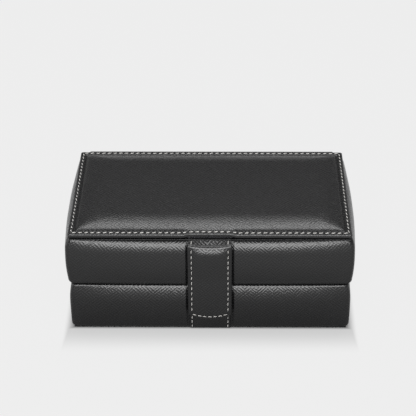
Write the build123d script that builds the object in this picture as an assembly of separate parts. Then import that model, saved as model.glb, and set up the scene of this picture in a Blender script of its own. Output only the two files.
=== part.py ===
from build123d import *
import math
import os

os.makedirs("parts", exist_ok=True)

# A leather-covered watch box: a lid on a leather hinge with a closing strap, a well for watches,
# and a drawer below.
# Millimetres, +Z up, the front faces -Y, and the origin is the centre of the underside.

# Carcass boards
carcass_width = 249.0
carcass_depth = 145.0
side_wall = 5.0
back_wall_thickness = 5.0
front_board_thickness = 5.0
base_sheet_thickness = 1.5
base_sheet_margin = 1.0
base_board_thickness = 4.0
drawer_bay_height = 41.5
shelf_thickness = 4.0
well_height = 48.0
front_rim_drop = 1.8
rim_trim_thickness = 0.8

# Padded leather over both tiers: how far each side bulges, and how much of that its corners keep
skin = 1.5
seam_gap = 0.6
corner_radius = 4.0
front_crown = 6.0
side_crown = 7.2
back_crown = 4.0
front_corner_share = 0.35
side_corner_share = 0.6
upper_crown_drop = 11.0
upper_foot_share = 0.75
upper_foot_roll = 3.0
drawer_crown = 4.2
lower_side_crown = 4.0
drawer_crown_drop = 9.0
drawer_foot_share = 0.7
drawer_foot_roll = 5.0
tuck_share = 0.05
roll_steps = 4
least_level_step = 0.45

# Watch well and its pillows
lining = 1.0
floor_lining = 1.0
divider = 3.0
slot_count = 4
slot_length = 86.0
divider_height = 38.0
pillow_length = 66.0
pillow_height = 32.0
pillow_side_gap = 1.5
pillow_end_radius = 14.0
pillow_draw_in = 0.82
pillow_steps = 8

# Drawer
glide_thickness = 0.8
glide_width = 8.0
glide_inset = 12.0
drawer_side_gap = 0.5
drawer_lift_gap = 0.3
drawer_top_gap = 3.0
drawer_side_thickness = 4.0
drawer_bottom_thickness = 3.0
drawer_front_gap = 0.3
drawer_back_gap = 5.3
drawer_divider = 2.5
drawer_divider_height = 27.0
drawer_columns = 3
drawer_front_row = 62.0
drawer_floor_lining = 0.8

# Lid
lid_rest_gap = 0.3
lid_side_overhang = 2.5
lid_front_overhang = 2.6
lid_back_overhang = 1.2
lid_leather = 0.9
lid_wrap = 1.2
lid_board_thickness = 1.8
lid_lining_thickness = 0.8
lid_hem = 6.0
lid_corner_radius = 1.5
lid_crown = 4.0
lid_roll = 24.0
crown_steps = 6
inner_pad_thickness = 3.0
inner_pad_margin = 4.5
inner_pad_round = 1.0

# Leather hinge along the back
hinge_leather = 1.2
hinge_tail = 7.3
hinge_leaf_gap = 0.4
hinge_leaf_drop = 0.7
hinge_inset = 6.5

# Closing strap
strap_width = 40.0
strap_leather = 1.4
anchor_length = 13.0
fold_play = 0.06
flap_lift = 103.2
root_fold_out = 0.8
strap_clearance = 0.3
crease_drop = 3.6
flap_leather = 0.8
flap_stiffener_thickness = 1.0
flap_margin = 2.5
flap_end_height = 16.5
flap_end_rise = 4.0
magnet_radius = 6.0
magnet_thickness = 0.9
magnet_rise = 11.0
magnet_play = 0.1

# Catch tab on the drawer front
tab_width = 37.0
tab_thickness = 1.6
tab_gap = 0.1
tab_rim = 2.0
catch_plate_radius = 7.0
catch_plate_thickness = 0.7

# How far a cutting block runs past what it cuts
past = 1.0

# Levels and faces worked out from the sizes above
base_top = base_sheet_thickness + base_board_thickness
shelf_bottom = base_top + drawer_bay_height
shelf_top = shelf_bottom + shelf_thickness
rim = shelf_top + well_height
front_rim = rim - front_rim_drop
seam = (shelf_bottom + shelf_top) / 2
half_width = carcass_width / 2
half_depth = carcass_depth / 2
inner_half_width = half_width - side_wall
wall_front = -(half_depth - front_board_thickness)
inner_back = half_depth - back_wall_thickness
well_half_width = inner_half_width - lining
well_front = wall_front + lining
well_back = inner_back - lining
well_floor_top = shelf_top + floor_lining


def block(x0, x1, y0, y1, z0, z1):
    """A rectangular board between two corners."""
    middle = Pos((x0 + x1) / 2, (y0 + y1) / 2, (z0 + z1) / 2)
    return middle * Box(abs(x1 - x0), abs(y1 - y0), abs(z1 - z0))


def save(name, shape):
    """Writes one sub-part under its node's name."""
    export_step(shape, f"parts/{name}.step")


class Profile:
    """How a padded side bulges with height: a roll at the top, a gentle slope, a small roll at the foot."""

    def __init__(self, low, high, crown_drop, foot_share, foot_roll):
        self.low = low
        self.high = high
        self.crown_level = high - crown_drop
        self.foot_level = low + foot_roll
        self.foot_share = foot_share

    def share(self, level):
        """The share of the full bulge at a level."""
        if level >= self.high:
            return tuck_share
        if level >= self.crown_level:
            run = (level - self.crown_level) / (self.high - self.crown_level)
            return tuck_share + (1 - tuck_share) * math.sqrt(max(0, 1 - run**2))
        if level >= self.foot_level:
            run = (self.crown_level - level) / (self.crown_level - self.foot_level)
            return 1 - (1 - self.foot_share) * run**2
        run = (self.foot_level - level) / (self.foot_level - self.low)
        return tuck_share + (self.foot_share - tuck_share) * math.sqrt(max(0, 1 - run**2))

    def levels(self):
        """Levels at which the bulge needs a section."""
        turns = [math.sin(math.radians(90 * step / roll_steps)) for step in range(roll_steps + 1)]
        top = [self.crown_level + turn * (self.high - self.crown_level) for turn in turns]
        foot = [self.foot_level - turn * (self.foot_level - self.low) for turn in turns]
        return top + foot + [(self.crown_level + self.foot_level) / 2]


def bulged_outline(level, front, side, back, front_bulge, side_bulge, back_bulge):
    """The padded tier's outline at one level: four shallow arcs with rounded corners."""
    front_out = front_bulge * front.share(level)
    side_out = side_bulge * side.share(level)
    back_out = back_bulge * back.share(level)
    x_middle = half_width + skin + side_out
    x_corner = half_width + skin + side_out * side_corner_share
    y_front = -half_depth - skin - front_out
    y_back = half_depth + skin + back_out
    corner_front = -half_depth - skin - front_out * front_corner_share
    corner_back = half_depth + skin + back_out * front_corner_share
    arcs = [
        Edge.make_three_point_arc((-x_corner, corner_front), (0, y_front), (x_corner, corner_front)),
        Edge.make_three_point_arc((x_corner, corner_front), (x_middle, 0), (x_corner, corner_back)),
        Edge.make_three_point_arc((x_corner, corner_back), (0, y_back), (-x_corner, corner_back)),
        Edge.make_three_point_arc((-x_corner, corner_back), (-x_middle, 0), (-x_corner, corner_front)),
    ]
    face = Face(Wire(arcs))
    return Pos(0, 0, level) * face.fillet_2d(corner_radius, face.vertices())


def section_levels(profiles):
    """Levels for the sections: every profile's ends, and the others that lie far enough from those kept."""
    kept = sorted({profile.low for profile in profiles} | {profile.high for profile in profiles})
    for level in sorted(level for profile in profiles for level in profile.levels()):
        if all(abs(level - other) >= least_level_step for other in kept):
            kept.append(level)
    return sorted(kept)


def padded_tier(front, side, back, front_bulge, side_bulge, back_bulge):
    """A whole padded tier as one solid, skinned over its outlines from the lowest level to the highest."""
    bulges = (front, side, back, front_bulge, side_bulge, back_bulge)
    levels = section_levels((front, side, back))
    return loft([bulged_outline(level, *bulges) for level in levels], ruled=True)


# Case: base sheet, boards and shelf
pad_low = base_sheet_thickness + drawer_lift_gap
seam_low = seam - seam_gap / 2
seam_high = seam + seam_gap / 2
wall_top = rim - rim_trim_thickness
front_board_top = front_rim - rim_trim_thickness
hinge_zone = hinge_tail + hinge_leaf_drop
back_pad_top = rim - hinge_zone - seam_gap / 2
save(
    "base_sheet",
    block(
        -half_width - base_sheet_margin,
        half_width + base_sheet_margin,
        -half_depth - base_sheet_margin,
        half_depth + base_sheet_margin,
        0,
        base_sheet_thickness,
    ),
)
save("base_board", block(-half_width, half_width, wall_front, half_depth, base_sheet_thickness, base_top))
for side, name in ((-1, "left"), (1, "right")):
    save(
        f"side_wall_{name}",
        block(side * inner_half_width, side * half_width, wall_front, half_depth, base_top, wall_top),
    )
save("back_wall", block(-inner_half_width, inner_half_width, inner_back, half_depth, base_top, wall_top))
save("shelf", block(-inner_half_width, inner_half_width, wall_front, inner_back, shelf_bottom, shelf_top))
save(
    "upper_front_board",
    block(-half_width, half_width, -half_depth, wall_front, seam_high, front_board_top),
)

# Padded leather panels round both tiers, cut from one padded shape so that they meet at the corners
far = carcass_width


def upper_profile(high):
    """The upper tier's bulge below a given top edge."""
    return Profile(seam_high, high, upper_crown_drop, upper_foot_share, upper_foot_roll)


upper_tier = padded_tier(
    upper_profile(front_board_top),
    upper_profile(wall_top),
    upper_profile(back_pad_top),
    front_crown,
    side_crown,
    back_crown,
)
hinge_half = half_width - hinge_inset
hinge_cut = block(-hinge_half - seam_gap, hinge_half + seam_gap, half_depth - past, far, back_pad_top, rim)
save("upper_front_pad", upper_tier & block(-far, far, -far, -half_depth, 0, front_board_top))
save("upper_back_pad", (upper_tier & block(-far, far, half_depth, far, 0, rim)) - hinge_cut)
lower_profile = Profile(pad_low, seam_low, drawer_crown_drop, drawer_foot_share, drawer_foot_roll)
lower_tier = padded_tier(
    lower_profile, lower_profile, lower_profile, drawer_crown, lower_side_crown, back_crown
)
save("lower_back_pad", lower_tier & block(-far, far, half_depth, far, 0, rim))
for side, name in ((-1, "left"), (1, "right")):
    save(
        f"upper_{name}_pad",
        upper_tier & block(side * half_width, side * far, -half_depth, half_depth, 0, rim),
    )
    save(
        f"lower_{name}_pad",
        lower_tier & block(side * half_width, side * far, wall_front, half_depth, 0, rim),
    )

# Leather trim over the rim of the watch well
trim_outside = half_width + skin
well_cut = block(
    -well_half_width, well_half_width, wall_front - past, well_back, wall_top - past, rim + past
)
save("rim_trim", block(-trim_outside, trim_outside, wall_front, half_depth, wall_top, rim) - well_cut)
front_trim = block(-half_width, half_width, -half_depth - skin, wall_front, front_board_top, front_rim)
front_trim = front_trim + block(
    -well_half_width, well_half_width, wall_front, well_front, front_board_top, front_rim
)
save("front_rim_trim", front_trim)

# Suede lining, floor and dividers of the watch well
well_lining = block(-inner_half_width, inner_half_width, wall_front, inner_back, shelf_top, wall_top)
well_lining = well_lining - block(
    -well_half_width, well_half_width, well_front, well_back, shelf_top - past, wall_top + past
)
well_lining = well_lining - block(
    -well_half_width, well_half_width, wall_front - past, well_front, front_board_top, wall_top + past
)
save("well_lining", well_lining)
save(
    "well_floor",
    block(-well_half_width, well_half_width, well_front, well_back, shelf_top, well_floor_top),
)
divider_top = well_floor_top + divider_height
slot_width = (2 * well_half_width - (slot_count - 1) * divider) / slot_count
slot_front = well_back - slot_length
row_back = slot_front - divider
save(
    "long_divider",
    block(-well_half_width, well_half_width, row_back, slot_front, well_floor_top, divider_top),
)
for number in range(1, slot_count):
    left = -well_half_width + number * slot_width + (number - 1) * divider
    save(
        f"slot_divider_{number}",
        block(left, left + divider, slot_front, well_back, well_floor_top, divider_top),
    )
    save(
        f"front_divider_{number}",
        block(left, left + divider, well_front, row_back, well_floor_top, divider_top),
    )


# Watch pillows: an oval cushion across each slot, drawn in at both ends
def pillow(width):
    """A pillow lying across X on z = 0: rounded-rectangle sections that shrink elliptically to the ends."""
    sections = []
    for step in range(pillow_steps + 1):
        turn = math.radians(180 * step / pillow_steps - 90)
        share = pillow_draw_in + (1 - pillow_draw_in) * math.cos(turn)
        middle = (math.sin(turn) * width / 2, 0, pillow_height / 2)
        plane = Plane(origin=middle, x_dir=(0, 1, 0), z_dir=(1, 0, 0))
        outline = RectangleRounded(pillow_length * share, pillow_height * share, pillow_end_radius * share)
        sections.append(plane * outline)
    return loft(sections, ruled=True)


slot_middle = (slot_front + well_back) / 2
pillow_width = slot_width - 2 * pillow_side_gap
one_pillow = pillow(pillow_width)
for number in range(slot_count):
    middle = -well_half_width + slot_width / 2 + number * (slot_width + divider)
    save(f"watch_pillow_{number + 1}", Pos(middle, slot_middle, well_floor_top) * one_pillow)

# Drawer: glides, tray, dividers and front
glide_top = base_top + glide_thickness
tray_half_width = inner_half_width - drawer_side_gap
tray_low = glide_top + drawer_lift_gap
tray_high = shelf_bottom - drawer_top_gap
drawer_front_back = wall_front - drawer_front_gap
drawer_front_face = -half_depth
tray_back = inner_back - drawer_back_gap
inside_half_width = tray_half_width - drawer_side_thickness
inside_back = tray_back - drawer_side_thickness
tray_floor = tray_low + drawer_bottom_thickness
tray_floor_top = tray_floor + drawer_floor_lining
for side, name in ((-1, "left"), (1, "right")):
    outer = side * (inner_half_width - glide_inset)
    save(
        f"drawer_glide_{name}",
        block(outer - side * glide_width, outer, wall_front, inner_back, base_top, glide_top),
    )
    save(
        f"drawer_side_{name}",
        block(
            side * inside_half_width,
            side * tray_half_width,
            drawer_front_back,
            tray_back,
            tray_low,
            tray_high,
        ),
    )
save(
    "drawer_back",
    block(-inside_half_width, inside_half_width, inside_back, tray_back, tray_low, tray_high),
)
save(
    "drawer_bottom",
    block(-inside_half_width, inside_half_width, drawer_front_back, inside_back, tray_low, tray_floor),
)
save(
    "drawer_lining",
    block(
        -inside_half_width, inside_half_width, drawer_front_back, inside_back, tray_floor, tray_floor_top
    ),
)
drawer_divider_top = tray_floor_top + drawer_divider_height
front_row_back = drawer_front_back + drawer_front_row
save(
    "drawer_long_divider",
    block(
        -inside_half_width,
        inside_half_width,
        front_row_back,
        front_row_back + drawer_divider,
        tray_floor_top,
        drawer_divider_top,
    ),
)
column = (2 * inside_half_width - (drawer_columns - 1) * drawer_divider) / drawer_columns
for number in range(1, drawer_columns):
    left = -inside_half_width + number * column + (number - 1) * drawer_divider
    save(
        f"drawer_divider_{number}",
        block(
            left,
            left + drawer_divider,
            drawer_front_back,
            front_row_back,
            tray_floor_top,
            drawer_divider_top,
        ),
    )
board_low = pad_low + skin
board_high = seam_low - skin
drawer_front_board = block(
    -half_width, half_width, drawer_front_face, drawer_front_back, board_low, board_high
)
save("drawer_front_board", drawer_front_board)
drawer_front_pad = lower_tier & block(-far, far, -far, drawer_front_back, 0, rim)
save("drawer_front_pad", drawer_front_pad - drawer_front_board)

# Catch tab: follows the drawer pad from its foot to behind the strap, with the steel plate in its back
magnet_level = flap_end_height + magnet_rise
tab_top = magnet_level + catch_plate_radius + tab_rim
tab_zone = block(-tab_width / 2, tab_width / 2, -far, drawer_front_face, pad_low, tab_top)
tab_outside = Pos(0, -tab_gap - tab_thickness, 0) * lower_tier
catch_tab = (tab_outside - Pos(0, -tab_gap, 0) * lower_tier) & tab_zone
tab_back = drawer_front_face - skin - drawer_crown - tab_gap
plate_place = Pos(0, tab_back, magnet_level) * Rot(90, 0, 0)
catch_plate = plate_place * Cylinder(
    catch_plate_radius, catch_plate_thickness, align=(Align.CENTER, Align.CENTER, Align.MIN)
)
pocket = plate_place * Cylinder(
    catch_plate_radius + magnet_play, 2 * (catch_plate_thickness + magnet_play)
)
save("catch_plate", catch_plate)
save("catch_tab", catch_tab - pocket)

# Lid: leather cover over foam and board, lining, inner pad
lid_low = rim + lid_rest_gap
board_low_face = lid_low + lid_lining_thickness
board_high_face = board_low_face + lid_board_thickness
lid_high = board_high_face + lid_leather
lid_half = half_width + lid_side_overhang
lid_front = -half_depth - lid_front_overhang
lid_back = half_depth + lid_back_overhang


lid_width = 2 * lid_half
lid_depth = lid_back - lid_front
lid_middle = (lid_front + lid_back) / 2


def lid_layer(inset, low, high):
    """A flat layer of the lid, inset from its outline on all four sides."""
    radius = max(lid_corner_radius - inset, lid_corner_radius / 4)
    outline = RectangleRounded(lid_width - 2 * inset, lid_depth - 2 * inset, radius)
    return extrude(Pos(0, lid_middle, low) * outline, high - low)


def lid_dome(base):
    """The padded crown above a level: rounded rectangles that draw in along a parabola."""
    sections = []
    for step in range(crown_steps + 1):
        share = step / crown_steps
        inset = lid_hem + lid_roll * share
        outline = RectangleRounded(lid_width - 2 * inset, lid_depth - 2 * inset, lid_hem)
        sections.append(Pos(0, lid_middle, base + lid_crown * (1 - (1 - share) ** 2)) * outline)
    return loft(sections, ruled=True)


lid_foam = lid_dome(board_high_face)
lid_cover = lid_layer(0, lid_low, lid_high) + lid_dome(lid_high)
lid_cover = lid_cover - lid_layer(lid_wrap, lid_low - past, board_high_face) - lid_foam
save("lid_foam", lid_foam)
save("lid_cover", lid_cover)
save("lid_board", lid_layer(lid_wrap, board_low_face, board_high_face))
save("lid_lining", lid_layer(lid_wrap, lid_low, board_low_face))


def fold_room(thickness, bend):
    """How far a leather layer ends from its fold's axis, to clear its neighbour at the sharpest bend."""
    return thickness / 2 * math.tan(math.radians(bend / 2)) + fold_play


# Closing strap: one leather piece held under the lid and standing out as a short link, and the flap
# that folds from it over the front
root_fold_y = lid_front - root_fold_out
root_fold_z = lid_low - strap_leather / 2
upper_face = half_depth + skin + front_crown
tab_face = -tab_back + tab_thickness
flap_back = -max(upper_face, tab_face) - strap_clearance
flap_thickness = 2 * flap_leather + flap_stiffener_thickness
crease_y = flap_back - flap_thickness / 2
crease_z = root_fold_z - crease_drop
link_run = math.hypot(crease_y - root_fold_y, crease_drop)
link_slope = math.degrees(math.atan2(crease_drop, root_fold_y - crease_y))
crease_bend = max(90 - link_slope, flap_lift - 90 + link_slope)
link_length = link_run - fold_room(strap_leather, crease_bend)
root_place = Pos(0, root_fold_y, root_fold_z)
link = root_place * Rot(link_slope, 0, 0) * block(
    -strap_width / 2, strap_width / 2, -link_length, 0, -strap_leather / 2, strap_leather / 2
)
bend = root_place * Rot(0, 90, 0) * Cylinder(strap_leather / 2, strap_width)
anchor_back = root_fold_y + anchor_length
anchor = block(
    -strap_width / 2, strap_width / 2, root_fold_y, anchor_back, lid_low - strap_leather, lid_low
)
save("strap_anchor", anchor + bend + link)


def flap_layer(inset, near, far):
    """The flap's outline, straight at the sides and curved at the end, between two depths from its back."""
    half = strap_width / 2 - inset
    corner = flap_end_height + flap_end_rise + inset
    top = crease_z - fold_room(flap_thickness, crease_bend) - inset
    wire = Wire(
        [
            Edge.make_line((-half, top), (-half, corner)),
            Edge.make_three_point_arc((-half, corner), (0, flap_end_height + inset), (half, corner)),
            Edge.make_line((half, corner), (half, top)),
            Edge.make_line((half, top), (-half, top)),
        ]
    )
    plane = Plane(origin=(0, flap_back - near, 0), x_dir=(1, 0, 0), z_dir=(0, -1, 0))
    return extrude(plane * Face(wire), far - near)


inner_far = flap_leather
outer_near = flap_leather + flap_stiffener_thickness
magnet_place = Pos(0, flap_back - (inner_far + outer_near) / 2, magnet_level) * Rot(90, 0, 0)
stiffener = flap_layer(flap_margin, inner_far, outer_near)
magnet_hole = magnet_place * Cylinder(magnet_radius + magnet_play, 2 * flap_stiffener_thickness)
save("flap_lining", flap_layer(0, 0, inner_far))
save("flap_leather", flap_layer(0, inner_far, flap_thickness) - stiffener)
save("flap_stiffener", stiffener - magnet_hole)
save("flap_magnet", magnet_place * Cylinder(magnet_radius, magnet_thickness))

# Velvet pad inside the lid, and the leather hinge along the back
inner_front = max(well_front + inner_pad_margin, anchor_back + inner_pad_round)
inner_half = well_half_width - inner_pad_margin
inner_back_edge = well_back - inner_pad_margin
inner_pad = block(
    -inner_half, inner_half, inner_front, inner_back_edge, lid_low - inner_pad_thickness, lid_low
)
save("lid_inner_pad", fillet(inner_pad.faces().sort_by(Axis.Z)[0].edges(), inner_pad_round))
hinge_face = lid_back + hinge_leather
save(
    "hinge_leaf_case",
    block(-hinge_half, hinge_half, half_depth, hinge_face, back_pad_top + seam_gap, rim - hinge_leaf_drop),
)
save(
    "hinge_leaf_lid",
    block(-hinge_half, hinge_half, lid_back, hinge_face, lid_low + hinge_leaf_gap, lid_high),
)
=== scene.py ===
import bmesh
import bpy
import math

import numpy as np
from mathutils import Matrix, Vector


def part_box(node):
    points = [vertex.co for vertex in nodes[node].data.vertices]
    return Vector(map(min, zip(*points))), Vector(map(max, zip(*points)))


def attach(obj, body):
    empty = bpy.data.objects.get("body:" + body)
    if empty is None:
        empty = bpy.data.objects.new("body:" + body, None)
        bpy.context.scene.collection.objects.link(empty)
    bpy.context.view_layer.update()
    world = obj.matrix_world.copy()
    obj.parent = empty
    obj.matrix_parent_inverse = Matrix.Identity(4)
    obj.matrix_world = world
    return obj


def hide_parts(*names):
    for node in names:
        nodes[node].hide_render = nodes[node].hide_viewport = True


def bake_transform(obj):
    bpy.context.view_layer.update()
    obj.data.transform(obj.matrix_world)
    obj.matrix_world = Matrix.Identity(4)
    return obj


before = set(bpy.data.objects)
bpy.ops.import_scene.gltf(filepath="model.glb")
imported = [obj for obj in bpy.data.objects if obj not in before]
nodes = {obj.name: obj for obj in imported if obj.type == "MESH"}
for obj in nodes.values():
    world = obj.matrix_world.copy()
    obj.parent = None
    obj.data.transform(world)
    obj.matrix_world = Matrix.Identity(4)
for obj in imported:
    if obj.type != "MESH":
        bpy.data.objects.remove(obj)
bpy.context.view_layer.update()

# Padded band of the upper tier
# One length of black embossed leather over foam goes round all four sides of the tier. It is glued under
# the rim at the top and tucked into the seam between the tiers at the foot, and the foam fills it out.
mm = 0.001
half_width = 124.5 * mm
half_depth = 72.5 * mm
skin = 1.5 * mm
corner_radius = 4.0 * mm
tuck = 1 * mm
seam_level = 49.0 * mm
half_seam = 0.7 * mm
front_rim_level = 96.4 * mm
side_rim_level = 98.2 * mm
hinge_leaf_level = 90.7 * mm
hinge_share = 0.985
hinge_fade = 0.045


def placed(name, data):
    """A new object in the scene, at the origin."""
    piece = bpy.data.objects.new(name, data)
    bpy.context.scene.collection.objects.link(piece)
    return piece


def grid_piece(name, points, across, along, ring=False):
    """A mesh of quads over a grid of points, with a UV map in metres: across runs over the columns and
    along over the rows. A ring joins its last column to its first, and across then has one value more."""
    rows, columns = points.shape[:2]
    last = columns if ring else columns - 1
    row, column = np.meshgrid(np.arange(rows - 1), np.arange(last), indexing="ij")
    after = (column + 1) % columns
    corners = [row * columns + column, row * columns + after]
    corners += [(row + 1) * columns + after, (row + 1) * columns + column]
    faces = np.stack(corners, -1).reshape(-1, 4)
    mesh = bpy.data.meshes.new(name)
    mesh.from_pydata(points.reshape(-1, 3).tolist(), [], faces.tolist())
    uv = np.stack(np.broadcast_arrays(across, along), -1)
    picked = [uv[row, column], uv[row, column + 1], uv[row + 1, column + 1], uv[row + 1, column]]
    layer = mesh.uv_layers.new(name="UVMap")
    layer.data.foreach_set("uv", np.stack(picked, -2).astype(np.float32).ravel())
    mesh.shade_smooth()
    return placed(name, mesh)


def travelled(points, axis):
    """The distance covered from the grid's first row or column to each later one."""
    steps = np.linalg.norm(np.diff(points, axis=axis), axis=-1)
    start = np.zeros_like(np.take(steps, [0], axis=axis))
    return np.concatenate([start, np.cumsum(steps, axis=axis)], axis=axis)


def closed_ring(values):
    """The values of a ring with its first column once more at the end."""
    return np.concatenate([values, values[:, :1]], 1)


def eased(share):
    """A share cut to 0 to 1 that leaves and arrives gently."""
    share = np.clip(share, 0, 1)
    return share * share * (3 - 2 * share)


def between(first, last, count):
    """Evenly spaced values between two others, which are left out."""
    return np.linspace(first, last, count + 2)[1:-1]


def outline_columns(across, deep, compass):
    """Columns of a rounded rectangle. Each is two shares of its straight lengths, across from -1 (left) to 1
    and deep from -1 (front) to 1, and the way that it faces, from a compass angle, 0 being to the right."""
    turn = np.radians(compass)
    return np.stack(np.broadcast_arrays(across, deep, np.cos(turn), np.sin(turn)), -1)


def round_the_back(side, back_count, corner_count):
    """Columns along the right side, the back and the left side, which mirrors the right one."""
    right = outline_columns(1, 1, between(0, 90, corner_count))
    back = outline_columns(np.linspace(1, -1, back_count), 1, 90)
    left = outline_columns(-1, 1, between(90, 180, corner_count))
    return np.concatenate([side, right, back, left, side[::-1] * [-1, 1, -1, 1]])


def all_round(front, side, back_count, corner_count):
    """Columns along the front from the left, and on round the box to where they started."""
    right = outline_columns(1, -1, between(-90, 0, corner_count))
    left = outline_columns(-1, -1, between(180, 270, corner_count))
    return np.concatenate([front, right, round_the_back(side, back_count, corner_count), left])


strap_half = 20.0 * mm
strap_press = 1.2 * mm
press_fade = 2.4 * mm
middle_run = 0.5
weak_share = 0.22


def pressed(points, share):
    """Lets the front of a grid in behind the strap: full across its width, fading out beside it, and less
    where the padding bulges less."""
    beside = eased((strap_half + press_fade - np.abs(points[..., 0])) / press_fade)
    facing = points[..., 1] < -half_depth
    points[..., 1] += strap_press * beside * share[:, None] * facing
    return points


def arc_share(part, slope):
    """A circle's arc, level and 1 where the part is 0. It is 0 where the part is 1, turned by the slope."""
    start = math.cos(slope)
    return (np.sqrt(1 - (part * math.sin(slope)) ** 2) - start) / (1 - start)


def bulge_share(run, crown_run, foot_run, foot_share, edge_slope):
    """How much of the bulge a padded side has at each share of its height. From the middle up it is a
    weak parabola plus, above crown_run, a circle's arc that faces up by edge_slope at the top edge. From
    the middle to the foot roll it falls as a parabola, and below as a quarter ellipse."""
    top = np.clip((run - crown_run) / (1 - crown_run), 0, 1)
    weak = np.clip((run - middle_run) / (1 - middle_run), 0, 1)
    slope = np.clip((middle_run - run) / (middle_run - foot_run), 0, 1)
    foot = np.clip((foot_run - run) / foot_run, 0, 1)
    upper = (1 - weak_share) * arc_share(top, edge_slope) + weak_share * (1 - weak**2)
    middle = 1 - (1 - foot_share) * slope**2
    lower = foot_share * np.sqrt(1 - foot**2)
    return np.where(run > middle_run, upper, np.where(run > foot_run, middle, lower))


def height_runs(crown_run, foot_run, count):
    """Shares of the height at which a padded side has a row, close together where it turns in."""
    turn = np.sin(np.linspace(0, math.pi / 2, count))
    foot = foot_run * (1 - turn[::-1])
    top = crown_run + (1 - crown_run) * np.linspace(0, 1, count)
    middle = np.linspace(foot_run, crown_run, count)[1:-1]
    return np.concatenate([foot, middle, top])


def padded_skin(columns, low, high, run, share, crowns, wave=0.0):
    """The grid of a padded side. Each column stands on a rounded rectangle, half_width by half_depth plus
    skin, and is pushed out by its share of the bulge, which the crowns give for the front, the sides and
    the back. A side's middle bulges more than its corners: the part that the corners keep moves the
    rectangle, and the rest falls off to the corners, as a parabola along a side and with the fourth power
    along the front and back. The wave adds slow sines along and up, as hand-filled foam has."""
    across, deep, facing_x, facing_y = columns.T
    run = run[:, None]
    level = low + (high - low) * run
    front_out, side_out, back_out = (crown * share[:, None] for crown in crowns)
    side_out = side_out * (1 + wave * np.sin(9 * deep + 2) * np.sin(5 * run))
    wide = half_width + skin + side_corner_share * side_out
    front = half_depth + skin + front_corner_share * front_out
    back = half_depth + skin + front_corner_share * back_out
    end_out = np.where(deep < 0, front_out, back_out) * (1 - front_corner_share)
    end_out = end_out * (1 + wave * np.sin(11 * across + 1) * np.sin(5 * run + 0.5))
    x = across * (wide - corner_radius) + corner_radius * facing_x
    x = x + np.sign(across) * (1 - side_corner_share) * side_out * (1 - deep**2)
    y = (back - front) / 2 + deep * ((back + front) / 2 - corner_radius) + corner_radius * facing_y
    y = y + np.sign(deep) * end_out * (1 - across**4)
    return np.stack(np.broadcast_arrays(x, y, level), -1)


def tucked(points, low, high):
    """The grid with one more row at its foot and at its top, turned in by the tuck at their levels."""
    inner = np.array([half_width, half_depth]) - tuck
    edges = points[[0, -1]]
    edges[..., :2] = np.clip(edges[..., :2], -inner, inner)
    edges[0, :, 2] = low
    edges[1, :, 2] = high
    return np.concatenate([edges[:1], points, edges[1:]])


def unrolled(points):
    """How far each column of a grid lies along its middle row, and each row up its own column."""
    return travelled(points[len(points) // 2][None], 1), travelled(points, 0)


side_corner_share = 0.6
front_corner_share = 0.35
back_crown = 4.0 * mm
upper_crowns = (6.0 * mm, 7.2 * mm, back_crown)
upper_low = seam_level + half_seam
upper_crown_run = 0.75
upper_foot_run = 0.09
upper_foot_share = 0.68
upper_edge_slope = math.radians(75)
upper_rows = 16
pad_wave = 0.012
side_count = 51
end_count = 81
corner_count = 9
near_strap = np.linspace(0.11, 0.25, 15)  # closer columns where the strap's edges press in
front_across = np.concatenate([np.linspace(-1, 1, end_count), near_strap, -near_strap])
front_columns = outline_columns(np.unique(np.round(front_across, 4)), -1, -90)

side = outline_columns(1, np.linspace(-1, 1, side_count), 0)
around = all_round(front_columns, side, end_count, corner_count)
facing_front = np.clip(-around[:, 3], 0, 1)
under_hinge = np.clip((hinge_share - np.abs(around[:, 0])) / hinge_fade, 0, 1) * (around[:, 3] > 0.5)
rim_level = side_rim_level + (front_rim_level - side_rim_level) * facing_front
rim_level = rim_level + (hinge_leaf_level - side_rim_level) * under_hinge
run = height_runs(upper_crown_run, upper_foot_run, upper_rows)
share = bulge_share(run, upper_crown_run, upper_foot_run, upper_foot_share, upper_edge_slope)
band = pressed(padded_skin(around, upper_low, rim_level, run, share, upper_crowns, pad_wave), share)
band = tucked(band, upper_low, rim_level)
upper_leather = grid_piece("upper_leather", band, *unrolled(closed_ring(band)), ring=True)


def linear(code):
    """An sRGB hex colour as the linear RGBA that a shader takes."""
    parts = np.array([int(code[i : i + 2], 16) for i in (1, 3, 5)]) / 255
    parts = np.where(parts <= 0.04045, parts / 12.92, ((parts + 0.055) / 1.055) ** 2.4)
    return (*parts.tolist(), 1.0)


def feed(node, inputs):
    """Gives each named input a value, or an output to read. A node stands for its first output."""
    for name, value in inputs.items():
        if isinstance(value, bpy.types.Node):
            value = value.outputs[0]
        if isinstance(value, bpy.types.NodeSocket):
            node.id_data.links.new(value, node.inputs[name])
        else:
            node.inputs[name].default_value = value


def add_node(tree, kind, inputs, **settings):
    """Adds a shader node, sets its properties and feeds its inputs."""
    node = tree.nodes.new("ShaderNode" + kind)
    for name, value in settings.items():
        setattr(node, name, value)
    feed(node, inputs)
    return node


def new_material(name, code, coordinate="Object"):
    """A material with its node tree, the coordinate that its patterns read, and its shader. The colour is
    the one that it shows where nothing shades it."""
    material = bpy.data.materials.new(name)
    material.use_nodes = True
    material.diffuse_color = linear(code)
    tree = material.node_tree
    place = add_node(tree, "TexCoord", {}).outputs[coordinate]
    return material, tree, place, tree.nodes["Principled BSDF"]


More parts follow.
